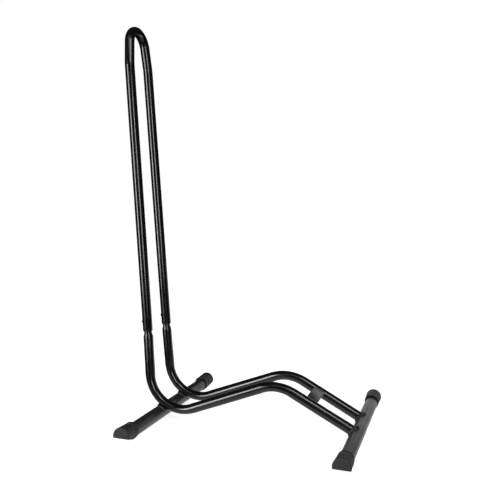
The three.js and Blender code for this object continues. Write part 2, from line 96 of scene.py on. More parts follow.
def add(
    tree: bpy.types.NodeTree,
    kind: str,
    inputs: Optional[dict[str | int, object]] = None,
    **settings: object,
) -> bpy.types.Node:
    """Adds a shader node.

    Args:
        tree: The node tree.
        kind: The node's type.
        inputs: Socket name or number to a value, or to the socket it is fed from.
        **settings: The node's own properties.

    Returns:
        The new node.
    """
    node = tree.nodes.new(kind)
    for key, value in settings.items():
        setattr(node, key, value)
    for key, value in (inputs or {}).items():
        if isinstance(value, bpy.types.NodeSocket):
            tree.links.new(value, node.inputs[key])
        else:
            node.inputs[key].default_value = value
    return node


class Make(Enum):
    """How a surface was made, with the width and height in millimetres of the bumps it leaves."""

    # Powder that flows out in the oven keeps a slight orange peel.
    GLOSS_COAT = (2.2, 0.004)
    # A matting agent in the powder tightens the peel and deepens it.
    SATIN_COAT = (1.4, 0.02)
    # Over a weld the coat is thin and follows the bead's own grain.
    WELD_COAT = (1.1, 0.05)
    # Spark erosion pits a mould by less than 0.1 mm, drawn coarser here so that it shows.
    MOULDED = (0.5, 0.03)
    # Plating follows the steel's fine drawn grain, also drawn coarser so that it shows.
    PLATED = (0.4, 0.01)
    # Mill scale flakes off rolled steel in grains of just under a millimetre.
    ROLLED = (0.8, 0.03)

    @property
    def grain(self) -> float:
        """Width of a bump."""
        return self.value[0]

    @property
    def relief(self) -> float:
        """Height of a bump."""
        return self.value[1]


@dataclass(frozen=True)
class Finish:
    """A surface finish."""

    name: str
    make: Make
    colour: str  # sRGB hex
    roughness: float  # its mean over a piece
    ior: float = 1.5  # the default, which metal keeps
    metallic: float = 0.0
    spread: float = 0.04  # by which the roughness strays up and down
    cloud: float = 35.0  # width of a patch of thicker coat, or of a flow or handling mark
    fleck: float = 0.9  # width of a speck of dust, coarser than real so that it shows
    dust: str = "4a4a48"  # sRGB hex of a dusty or scuffed speck
    dusting: float = 0.25  # share of that colour in a speck

    def build(self) -> bpy.types.Material:
        """Makes the material's nodes.

        Returns:
            The material.
        """
        material = bpy.data.materials.new(self.name)
        material.use_nodes = True
        tree = material.node_tree
        tree.nodes.clear()
        place = add(tree, "ShaderNodeTexCoord").outputs["Object"]
        # The finer the pattern, the fewer octaves of it can show.
        cloud, peel, fleck = (
            add(
                tree,
                "ShaderNodeTexNoise",
                {"Vector": place, "Scale": 1 / (width * MM), "Detail": detail},
            )
            for width, detail in ((self.cloud, 3.0), (self.make.grain, 2.0), (self.fleck, 1.0))
        )
        rough = add(
            tree,
            "ShaderNodeMapRange",
            {
                "Value": cloud.outputs["Fac"],
                "From Min": NOISE_LOW,
                "From Max": NOISE_HIGH,
                "To Min": self.roughness - self.spread,
                "To Max": self.roughness + self.spread,
            },
        )
        bump = add(
            tree,
            "ShaderNodeBump",
            {"Height": peel.outputs["Fac"], "Distance": self.make.relief * MM, "Strength": 1.0},
        )
        specks = add(
            tree,
            "ShaderNodeMapRange",
            {
                "Value": fleck.outputs["Fac"],
                "From Min": FLECK_FROM,
                "From Max": FLECK_TO,
                "To Min": 0.0,
                "To Max": self.dusting,
            },
        )
        colour = add(
            tree,
            "ShaderNodeMix",
            {
                "Factor": specks.outputs["Result"],
                "A": linear(self.colour),
                "B": linear(self.dust),
            },
            data_type="RGBA",
        )
        shader = add(
            tree,
            "ShaderNodeBsdfPrincipled",
            {
                "Base Color": colour.outputs["Result"],
                "Roughness": rough.outputs["Result"],
                "Normal": bump.outputs["Normal"],
                "Metallic": self.metallic,
                "IOR": self.ior,
            },
        )
        add(tree, "ShaderNodeOutputMaterial", {"Surface": shader.outputs["BSDF"]})
        return material


# Rails and hoop: powder coat, sprayed dry and baked to a gloss, which shows the lamps as crisp long
# strips on near black.
GLOSS = Finish("gloss_black_powder_coat", Make.GLOSS_COAT, "0b0b0c", 0.19, 1.52)
# Crossbars and stop plate: powder coat in satin, which spreads the lamps to broad soft bands.
SATIN = Finish("satin_black_powder_coat", Make.SATIN_COAT, "262627", 0.38, 1.52)
# Weld beads: powder coat pulled thin over the ripples, whose crests catch small glints.
WELD = Finish("powder_coat_over_weld", Make.WELD_COAT, "0d0d0e", 0.3, 1.52)
# End caps: polyethylene from a spark-eroded mould, matt and a little greyer than the paint.
PLASTIC = Finish("black_moulded_polyethylene", Make.MOULDED, "242425", 0.62, 1.51)
# Lock screws: black zinc plated steel, dark heads with a metal's hard highlight.
ZINC = Finish("black_zinc_plated_steel", Make.PLATED, "3a3a3e", 0.33, metallic=1.0)
# Inside of the tubes: rolled steel under its mill scale, a dull brown black.
BORE = Finish("raw_tube_bore", Make.ROLLED, "2a2725", 0.6, metallic=0.4)


# --- Curves and meshes ---


class Side(Enum):
    """A side of the rack, with its sign along Y."""

    NEAR = -1
    FAR = 1

    @property
    def word(self) -> str:
        """What it is called in the names of pieces."""
        return self.name.lower()


class Ends(Enum):
    """What becomes of the first and the last ring of a surface."""

    OPEN = "left open"
    JOINED = "joined to each other"
    CLOSED = "each closed by a flat face"


class Use(Enum):
    """What a shape does to the body that it meets."""

    JOIN = "UNION"
    CUT = "DIFFERENCE"


@dataclass
class Station:
    """A place along a centre line."""

    point: Vector
    tangent: Vector  # direction of travel
    radius: float = 0.0  # the tube's, where it changes along the line
    inward: Vector = field(default_factory=Vector)  # to the bend's centre, as long as it flattens


def bent_line(
    corners: Sequence[Vector], radii: Sequence[float], flats: Sequence[float]
) -> list[Station]:
    """Lays out straight stretches joined by round bends.

    Args:
        corners: Ends and corners of the centre line.
        radii: Bend radius at each inner corner.
        flats: Share by which each bend flattens the tube.

    Returns:
        Stations along the line, close together in the bends.
    """
    ways = [(b - a).normalized() for a, b in zip(corners, corners[1:])]
    line = [Station(corners[0].copy(), ways[0])]
    for corner, radius, flat, before, after in zip(corners[1:-1], radii, flats, ways, ways[1:]):
        turn = before.angle(after)
        start = corner - before * radius * math.tan(turn / 2)
        inward = (after - before * after.dot(before)).normalized()
        centre = start + inward * radius
        steps = math.ceil(turn / BEND_STEP)
        for k in range(steps + 1):
            angle = turn * k / steps
            point = centre + before * radius * math.sin(angle) - inward * radius * math.cos(angle)
            way = before * math.cos(angle) + inward * math.sin(angle)
            aside = inward * math.cos(angle) - before * math.sin(angle)
            shrink = flat * math.sin(math.pi * k / steps) ** ONSET
            line.append(Station(point, way, inward=aside * shrink))
    line.append(Station(corners[-1].copy(), ways[-1]))
    return line


def rings(line: Sequence[Station], radius: Optional[float] = None) -> list[list[Vector]]:
    """Lays rings of points round a line, without twist.

    Args:
        line: The centre line.
        radius: Radius of all rings; without it, each has its station's own.

    Returns:
        One list of points for each station.
    """
    side = line[0].tangent.orthogonal().normalized()
    last = line[0].tangent
    turn = 2 * math.pi / TUBE_SIDES
    out = []
    for station in line:
        side = last.rotation_difference(station.tangent) @ side
        last = station.tangent
        up = last.cross(side)
        reach = station.radius if radius is None else radius
        flat = station.inward.length
        toward = station.inward.normalized()
        points = []
        for k in range(TUBE_SIDES):
            arm = side * math.cos(k * turn) + up * math.sin(k * turn)
            # A bent tube is thinner in the plane of its bend and a little wider across it.
            squeeze = toward * arm.dot(toward) * flat * (1 + WIDENING)
            points.append(station.point + (arm * (1 + flat * WIDENING) - squeeze) * reach)
        out.append(points)
    return out


def skin(
    loops: Sequence[Sequence[Vector]], ends: Ends = Ends.OPEN, lining: Optional[int] = None
) -> bmesh.types.BMesh:
    """Joins rings of points to one surface.

    Args:
        loops: Rings with the same number of points.
        ends: What becomes of the first and the last ring.
        lining: Ring from which the faces take the second material, where there is one.

    Returns:
        The surface in millimetres.
    """
    mesh = bmesh.new()
    rows = [[mesh.verts.new(point) for point in loop] for loop in loops]
    pairs = list(zip(rows, rows[1:]))
    if ends is Ends.JOINED:
        pairs.append((rows[-1], rows[0]))
    for index, (low, high) in enumerate(pairs):
        count = len(low)
        for k in range(count):
            after = (k + 1) % count
            face = mesh.faces.new((low[k], low[after], high[after], high[k]))
            face.material_index = 1 if lining is not None and index >= lining else 0
    if ends is Ends.CLOSED:
        mesh.faces.new(rows[0])
        mesh.faces.new(rows[-1][::-1])
    return mesh


def solid_round(profile: Sequence[tuple[float, float]], sides: int) -> bmesh.types.BMesh:
    """Turns a profile about +Y to a round solid.

    Args:
        profile: Radius and place along Y, from axis to axis.
        sides: Points round the axis.

    Returns:
        The solid in millimetres.
    """
    turn = 2 * math.pi / sides
    loops = [
        [Vector((r * math.cos(k * turn), y, r * math.sin(k * turn))) for k in range(sides)]
        for r, y in profile
        if r > 0
    ]
    return skin(loops, Ends.CLOSED)


def prism(outline: Sequence[Vector], depth: Vector) -> bmesh.types.BMesh:
    """A closed prism, from the outline of one end and the way to the other, in millimetres."""
    return skin([outline, [point + depth for point in outline]], Ends.CLOSED)


def finish_mesh(
    name: str, mesh: bmesh.types.BMesh, materials: Sequence[bpy.types.Material]
) -> bpy.types.Object:
    """Turns a surface in millimetres into a smooth shaded object in metres.

    Args:
        name: Object name.
        mesh: The surface, which is freed.
        materials: One or more materials.

    Returns:
        The object.
    """
    bmesh.ops.recalc_face_normals(mesh, faces=mesh.faces)
    bmesh.ops.scale(mesh, vec=(MM, MM, MM), verts=mesh.verts)
    data = bpy.data.meshes.new(name)
    mesh.to_mesh(data)
    mesh.free()
    for material in materials:
        data.materials.append(material)
    data.shade_smooth()
    data.set_sharp_from_angle(angle=SHARP)
    thing = bpy.data.objects.new(name, data)
    bpy.context.scene.collection.objects.link(thing)
    return thing


def carve(
    body: bpy.types.Object,
    shapes: Sequence[tuple[str, Use, bmesh.types.BMesh]],
    ease: float = 0.0,
) -> None:
    """Joins shapes to a body or cuts them from it, one after the other.

    Args:
        body: The body.
        shapes: Name, use and surface of each shape.
        ease: Rounding of the edges afterwards.
    """
    tools = []
    for name, use, mesh in shapes:
        tool = finish_mesh(name, mesh, body.data.materials[:])
        step = body.modifiers.new(name, "BOOLEAN")
        step.object = tool
        step.operation = use.value
        step.solver = "EXACT"
        tools.append(tool)
    if ease:
        edge = body.modifiers.new("moulded edge", "BEVEL")
        edge.width = ease * MM
        edge.segments = EASE_STEPS
        edge.limit_method = "ANGLE"
        edge.angle_limit = EASED
    graph = bpy.context.evaluated_depsgraph_get()
    made = bpy.data.meshes.new_from_object(body.evaluated_get(graph))
    body.modifiers.clear()
    body.data = made
    for tool in tools:
        bpy.data.objects.remove(tool)
    made.shade_smooth()
    made.set_sharp_from_angle(angle=SHARP)


def seat(thing: bpy.types.Object, slot: str, *nodes: str) -> bpy.types.Object:
    """Lets a piece ride on the rack in place of its plain solids.

    Args:
        thing: The piece.
        slot: The record's material slot; not used.
        *nodes: CAD nodes it stands for.

    Returns:
        The piece.
    """
    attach(thing, "root")
    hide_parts(*nodes)
    return thing


# --- The rack's sizes ---


@dataclass(frozen=True)
class RackSizes:
    """Sizes shared by the rack's pieces, as in the frame. A reach is an X from the front bar."""

    front: float  # X of the front crossbar's axis
    axis: float  # height of the crossbars' axes
    wheelbase: float = 391.0  # between those axes
    width: float = 413.0  # over the end caps
    tube: float = 9.5  # radius of the rails and the hoop
    tube_wall: float = 1.5
    bar: float = 12.5  # radius of the crossbars
    bar_wall: float = 1.5
    seat_angle: float = math.radians(30)  # of a rail's seat on the front crossbar, from its top
    bottom_bend: float = 69.0  # radius
    rise: float = math.radians(21.2)  # slope of the rising stretch
    hump_reach: float = 240.5
    hump_bend: float = 75.0  # radius
    rear_aim: float = 2.5  # of the falling stretch above the rear crossbar's axis
    lean: float = math.radians(4.8)  # of the upright, towards the front
    rear_spacing: float = 83.5  # between the rails' axes at the rear crossbar
    front_spacing: float = 97.5  # at the front crossbar
    joint_spacing: float = 85.5  # at the shoulders
    neck_spacing: float = 79.3  # where the hoop's legs turn in to the crown
    crown_spacing: float = 57.5  # between the corners of the crown
    crown_drop: float = 72.0  # from the crown's axis to where the legs turn in
    ease_bend: float = 120.0  # radius of that turn
    shoulder: float = 163.0  # height at which the rail is swaged down
    hoop_end: float = 174.0  # height of the hoop's lower ends
    top: float = 791.5

    @property
    def bend_centre(self) -> tuple[float, float]:
        """Reach and height of the bottom bend's centre."""
        reach = self.bottom_bend + self.tube + self.bar + CLEARANCE
        return reach * math.sin(self.seat_angle), self.axis + reach * math.cos(self.seat_angle)

    def upright(self, height: float) -> float:
        """Finds the upright's line at a height.

        Args:
            height: The height.

        Returns:
            The reach there.
        """
        x, z = self.bend_centre
        x -= self.bottom_bend * math.cos(self.lean)
        z -= self.bottom_bend * math.sin(self.lean)
        return x - (height - z) * math.tan(self.lean)

    def rising(self, reach: float) -> float:
        """Finds the rising stretch's line at a reach.

        Args:
            reach: The reach.

        Returns:
            The height there.
        """
        x, z = self.bend_centre
        x += self.bottom_bend * math.sin(self.rise)
        z -= self.bottom_bend * math.cos(self.rise)
        return z + (reach - x) * math.tan(self.rise)

    def offset(self, reach: float) -> float:
        """Half the rails' spacing at a reach."""
        share = reach / self.wheelbase
        return (self.front_spacing + share * (self.rear_spacing - self.front_spacing)) / 2

    def place(self, reach: float, offset: float, height: float) -> Vector:
        """A point of the rack along the frame's axes."""
        return Vector((self.front + reach, offset, height))

    def leg(self, height: float, side: Side) -> Vector:
        """Finds the centre of an upright, or of the hoop's leg over it.

        Args:
            height: The height.
            side: The side of the rack.

        Returns:
            The centre there.
        """
        ease = self.top - self.tube - self.crown_drop
        share = (height - self.shoulder) / (ease - self.shoulder)
        spacing = self.joint_spacing + share * (self.neck_spacing - self.joint_spacing)
        return self.place(self.upright(height), side.value * spacing / 2, height)

    def leg_way(self, side: Side) -> Vector:
        """Direction of a leg, upwards."""
        return (self.leg(self.top, side) - self.leg(self.shoulder, side)).normalized()

    def rail_corners(self, side: Side) -> list[Vector]:
        """Finds the corners of a rail's centre line.

        Args:
            side: The side of the rack.

        Returns:
            The corners, from the shoulder to the rear crossbar.
        """
        reach = self.upright(self.shoulder)
        fall = self.shoulder - self.rising(reach)
        low = self.shoulder - fall / (1 + math.tan(self.rise) * math.tan(self.lean))
        corners = [self.leg(self.shoulder, side)]
        for reach, height in (
            (self.upright(low), low),
            (self.hump_reach, self.rising(self.hump_reach)),
            (self.wheelbase, self.axis + self.rear_aim),
        ):
            corners.append(self.place(reach, side.value * self.offset(reach), height))
        return corners

    def meet_bar(self, point: Vector, way: Vector, radius: float) -> Vector:
        """Finds where a line first meets a round about the rear crossbar's axis.

        Args:
            point: A point of the line.
            way: The line's direction, of length 1.
            radius: Radius of the round.

        Returns:
            The meeting point.
        """
        axis = self.place(self.wheelbase, 0.0, self.axis)
        gap = Vector((point.x - axis.x, 0.0, point.z - axis.z))
        flat = Vector((way.x, 0.0, way.z))
        half = gap.dot(flat) / flat.length_squared
        rest = (gap.length_squared - radius**2) / flat.length_squared
        return point + way * (-half - math.sqrt(half**2 - rest))


# --- Sub-assemblies ---


@dataclass
class Tubes:
    """The bent tubes: two rails with swaged necks, and the hoop over them."""

    sizes: RackSizes
    coat: bpy.types.Material
    raw: bpy.types.Material  # of the hoop's bore
    cone: float = 6.0  # length of the swage
    cone_top: tuple[tuple[float, float], ...] = ((1.2, 0.0), (-0.6, 0.25))  # rise, over the neck
    cone_foot: tuple[tuple[float, float], ...] = ((1.2, -0.25), (0.3, 0.1))  # rise, over the tube
    run_out: float = 0.8  # of the cone into the full tube
    insertion: float = 34.0  # of the neck in the hoop's leg
    mouth: float = 0.5  # rounding of a cut tube end
    coating: float = 0.25  # of the paint, thicker than real so that it tells in a small picture
    rail_flats: tuple[float, float] = (0.12, 0.08)  # at the bottom bend and at the hump
    hoop_flats: tuple[float, ...] = (0.0, 0.06, 0.06, 0.0)  # at the legs' turns and the crown
    crown_share: float = 0.499  # of the crown in each of its bends, so that they all but meet
    bite: float = 0.2  # of a rail's coped end in the rear crossbar

    def rail(self, side: Side) -> bpy.types.Object:
        """Builds a rail: neck, stub, bottom bend, hump, and the coped end on the rear crossbar.

        Args:
            side: The side of the rack.

        Returns:
            The piece.
        """
        s = self.sizes
        line = bent_line(s.rail_corners(side), (s.bottom_bend, s.hump_bend), self.rail_flats)
        way = s.leg_way(side)
        neck = s.tube - s.tube_wall - CLEARANCE
        coated = s.tube + self.coating
        height = (s.hoop_end - s.shoulder) / math.cos(s.lean) + self.insertion
        steps = [(height - k * self.mouth, neck - (2 - k) * self.mouth) for k in range(3)]
        steps += [(self.cone + rise, neck + more) for rise, more in self.cone_top]
        steps += [(rise, s.tube + more) for rise, more in self.cone_foot]
        steps.append((-self.run_out, coated))
        head = [Station(line[0].point + way * rise, -way, radius) for rise, radius in steps]
        for station in line:
            station.radius = coated
        loops = rings(head + line[1:])
        end = line[-1].tangent
        loops[-1] = [s.meet_bar(point, end, s.bar - self.bite) for point in loops[-1]]
        thing = finish_mesh(f"{side.word}_rail_tube", skin(loops), [self.coat])
        return seat(thing, "tube_paint", f"{side.word}_rail")

    def hoop(self) -> bpy.types.Object:
        """Builds the hoop as one open tube with its crown and slightly closing legs.

        Returns:
            The piece.
        """
        s = self.sizes
        top = s.top - s.tube
        ease = top - s.crown_drop
        crown = [
            s.place(s.upright(top), side.value * s.crown_spacing / 2, top)
            for side in (Side.NEAR, Side.FAR)
        ]
        corners = [s.leg(s.hoop_end, Side.NEAR), s.leg(ease, Side.NEAR), *crown]
        corners += [s.leg(ease, Side.FAR), s.leg(s.hoop_end, Side.FAR)]
        turn = (crown[0] - corners[1]).angle(ACROSS)
        bend = self.crown_share * s.crown_spacing / math.tan(turn / 2)
        line = bent_line(corners, (s.ease_bend, bend, bend, s.ease_bend), self.hoop_flats)
        outside = rings(line, s.tube + self.coating)
        inside = rings(line, s.tube - s.tube_wall)
        lips = rings(line, s.tube + self.coating - self.mouth)
        outside[0] = [point + line[0].tangent * self.mouth for point in outside[0]]
        outside[-1] = [point - line[-1].tangent * self.mouth for point in outside[-1]]
        shell = [lips[0], *outside, lips[-1]]
        mesh = skin([*shell, *reversed(inside)], Ends.JOINED, lining=len(shell) - 1)
        thing = finish_mesh("wheel_hoop_tube", mesh, [self.coat, self.raw])
        return seat(thing, "tube_paint", "wheel_hoop")


@dataclass
class Crossbars:
    """The two straight bars on the floor and the stop plate across the rails."""

    sizes: RackSizes
    coat: bpy.types.Material
    raw: bpy.types.Material  # of the bores
    nose: float = 36.0  # of a cap past the bar's end
    mouth: float = 0.5  # rounding of a cut tube end
    plate_setback: float = 70.5  # of the plate's middle from the hump, down the rails
    plate_length: float = 23.0
    plate_thickness: float = 2.0
    plate_corner: float = 8.0  # of each side that a rounded corner takes
    plate_lift: float = 5.9  # of its underside over the rails' axes
    plate_edge: float = 0.8  # rounding of its edges
    edge_bow: float = 0.3  # share of that rounding at which its middle lies
    corner_steps: int = 12

    def bar(self, name: str, reach: float) -> bpy.types.Object:
        """Builds a crossbar as an open tube.

        Args:
            name: The CAD node it stands for.
            reach: Distance from the front crossbar.

        Returns:
            The piece.
        """
        s = self.sizes
        half = s.width / 2 - self.nose - CLEARANCE
        spots = (-half, -half + self.mouth, half - self.mouth, half)
        line = [Station(s.place(reach, y, s.axis), ACROSS) for y in spots]
        outside = rings(line, s.bar)
        lips = rings(line, s.bar - self.mouth)
        inside = rings(line, s.bar - s.bar_wall)
        shell = [lips[0], *outside[1:-1], lips[-1]]
        mesh = skin([*shell, *reversed(inside)], Ends.JOINED, lining=len(shell) - 1)
        thing = finish_mesh(f"{name}_tube", mesh, [self.coat, self.raw])
        return seat(thing, "crossbar_paint", name)

    def plate_outline(self, slope: float) -> list[Vector]:
        """Draws the plate's outline, which follows the rails and has rounded corners.

        Args:
            slope: Reach gained for each millimetre along the rails.

        Returns:
            Points in the plate, along the rails and across them, from its middle.
        """
        s = self.sizes
        middle = s.hump_reach + self.plate_setback * slope
        grip = math.sqrt((s.tube + CLEARANCE) ** 2 - self.plate_lift**2)
        half = self.plate_length / 2
        low, high = (s.offset(middle + along * slope) - grip for along in (-half, half))
        corners = [Vector(c) for c in ((-half, -low), (half, -high), (half, high), (-half, low))]
        outline = []
        for k, here in enumerate(corners):
            after = corners[(k + 1) % len(corners)]
            start, end = (
                here + (other - here).normalized() * self.plate_corner
                for other in (corners[k - 1], after)
            )
            for i in range(self.corner_steps + 1):
                t = i / self.corner_steps
                outline.append(start * (1 - t) ** 2 + here * 2 * t * (1 - t) + end * t * t)
        return outline

    def plate(self) -> bpy.types.Object:
        """Builds the stop plate with softened edges.

        Returns:
            The piece.
        """
        s = self.sizes
        hump = s.place(s.hump_reach, 0.0, s.rising(s.hump_reach))
        end = s.place(s.wheelbase, 0.0, s.axis + s.rear_aim)
        fall = (end - hump).normalized()
        normal = Vector((-fall.z, 0.0, fall.x))
        base = hump + fall * self.plate_setback + normal * self.plate_lift
        outline = self.plate_outline(fall.x)
        centre = sum(outline, Vector((0.0, 0.0))) / len(outline)
        edge, thick = self.plate_edge, self.plate_thickness
        bow = edge * self.edge_bow
        levels = [(0, edge), (bow, bow), (edge, 0)]
        levels += [(thick - height, inset) for height, inset in reversed(levels)]
        loops = []
        for height, inset in levels:
            drawn = [point - (point - centre).normalized() * inset for point in outline]
            loops.append([base + fall * q.x + ACROSS * q.y + normal * height for q in drawn])
        thing = finish_mesh("stop_plate", skin(loops, Ends.CLOSED), [self.coat])
        return seat(thing, "crossbar_paint", "wheel_stop_plate")


@dataclass
class EndCap:
    """A moulded cap: half-round nose held off the floor, neck band, lip, heel, sole and mouth."""

    sizes: RackSizes
    plastic: bpy.types.Material
    radius: float = 16.0  # of the nose at its face
    raised: float = 2.8  # of the nose's axis over the bar's
    ledge: float = -0.6  # height of the nose's underside at the face, from the bar's axis
    undercut: float = 0.34  # slope of that underside
    nose: float = 36.0  # from the face to the bar's end
    sleeve: float = 5.0  # over the bar
    sleeve_wall: float = 1.4
    heel: float = 7.0  # length of the part that comes down to the floor
    rounding: float = 3.0  # of the face's rim
    rim_steps: int = 8
    taper: float = 1.8  # taken off the nose's radius over the cap's length
    groove_at: float = 14.0  # from the face
    groove_width: float = 1.6
    groove_depth: float = 0.9
    groove_foot: tuple[float, float] = (0.35, 0.6)  # where a flank turns, and meets the bottom
    groove_fillet: float = 0.15
    band_at: float = 9.0  # of the neck band, from the mouth
    band_width: float = 3.6
    band_depth: float = 1.5
    band_flank: float = 0.4
    lip_width: float = 2.0  # round the mouth
    lip_rise: float = 0.3
    lip_ease: tuple[float, float] = (0.1, 0.3)  # before and past the lip's inner corner
    recess: float = 4.0  # of the mouth round the bar
    mouth_wall: float = 1.2
    edge: float = 0.5  # rounding of all other edges
    overlap: float = 0.2  # of the sleeve's end inside the lip
    past: float = 5.0  # by which a cutting shape stands past the mouth
    sides: int = 160

    @property
    def length(self) -> float:
        """The cap's length."""
        return self.nose + self.sleeve

    def round_at(self, depth: float) -> float:
        """Radius of the tapering nose at a depth from its face."""
        return self.radius - self.taper * depth / self.length

    def lifted(self, profile: Sequence[tuple[float, float]]) -> bmesh.types.BMesh:
        """Turns a profile about the nose's axis, which is above the bar's.

        Args:
            profile: Radius and depth from the face, from axis to axis.

        Returns:
            The solid.
        """
        mesh = solid_round(profile, self.sides)
        bmesh.ops.translate(mesh, vec=(0.0, 0.0, self.raised), verts=mesh.verts)
        return mesh

    def level(self, radius: float, start: float, end: float) -> bmesh.types.BMesh:
        """A round about the bar's axis between two depths."""
        return solid_round([(0, start), (radius, start), (radius, end), (0, end)], self.sides)

    def nose_round(self) -> bmesh.types.BMesh:
        """Builds the nose's round with its rounded rim, groove, neck band and lip.

        Returns:
            The solid.
        """
        rim = self.radius - self.rounding
        profile = [(0, 0), (rim, 0)]
        for k in range(1, self.rim_steps + 1):
            angle = k * math.pi / (2 * self.rim_steps)
            out = rim + self.rounding * math.sin(angle)
            profile.append((out, self.rounding * (1 - math.cos(angle))))
        g0, g1 = self.groove_at, self.groove_at + self.groove_width
        bottom = self.round_at(g0) - self.groove_depth
        turn, foot = self.groove_foot
        b1 = self.length - self.band_at
        b0 = b1 - self.band_width
        lip = self.round_at(self.length) + self.lip_rise
        corner = self.length - self.lip_width
        before, past = self.lip_ease
        profile += [
            (self.round_at(g0), g0),
            (bottom + self.groove_fillet, g0 + turn),
            (bottom, g0 + foot),
            (bottom, g1 - foot),
            (bottom + self.groove_fillet, g1 - turn),
            (self.round_at(g1), g1),
            (self.round_at(b0), b0 - self.band_flank),
            (self.round_at(b0) - self.band_depth, b0),
            (self.round_at(b1) - self.band_depth, b1),
            (self.round_at(b1), b1 + self.band_flank),
            (self.round_at(self.length), corner - self.edge),
            (lip - before, corner - before),
            (lip, corner + past),
            (lip, self.length - self.edge),
            (lip - self.edge, self.length),
            (0, self.length),
        ]
        return self.lifted(profile)

    def mouth(self) -> bmesh.types.BMesh:
        """Builds what the open mouth takes out round the bar.

        Returns:
            The solid.
        """
        hollow = self.round_at(self.length) - self.mouth_wall
        start, end = self.length - self.recess, self.length + self.past
        return self.lifted([(0, start), (hollow, start), (hollow, end), (0, end)])

    def underside(self) -> bmesh.types.BMesh:
        """Builds what the undercut and the floor take off the round.

        Returns:
            The solid.
        """
        wide, long = 40.0, 30.0  # any that reach past the cap
        end = self.nose - self.sleeve_wall
        start = end - self.heel
        sole = -self.sizes.axis
        outline = (
            (-long, self.ledge),
            (0, self.ledge),
            (start, self.ledge - self.undercut * start),
            (end, sole),
            (end + long, sole),
            (end + long, sole - long),
            (-long, sole - long),
        )
        return prism([Vector((-wide, y, z)) for y, z in outline], Vector((2 * wide, 0, 0)))

    def build(self, name: str, reach: float, side: Side) -> bpy.types.Object:
        """Builds one cap in place.

        Args:
            name: The CAD node it stands for.
            reach: Distance from the front crossbar.
            side: The end of the bar.

        Returns:
            The piece.
        """
        s = self.sizes
        body = finish_mesh(f"{name}_moulding", self.nose_round(), [self.plastic])
        socket = s.bar + CLEARANCE
        outer = socket + self.sleeve_wall
        sleeve = self.level(outer, self.nose - self.heel, self.length - self.overlap)
        shapes = (
            ("sleeve", Use.JOIN, sleeve),
            ("undercut", Use.CUT, self.underside()),
            ("socket", Use.CUT, self.level(socket, self.nose, self.length + self.past)),
            ("recess", Use.CUT, self.mouth()),
        )
        carve(body, shapes, self.edge)
        turn = Matrix.Rotation(math.pi if side is Side.FAR else 0.0, 4, "Z")
        end = s.place(reach, side.value * s.width / 2, s.axis)
        body.data.transform(Matrix.Translation(end * MM) @ turn)
        return seat(body, "cap_plastic", name)


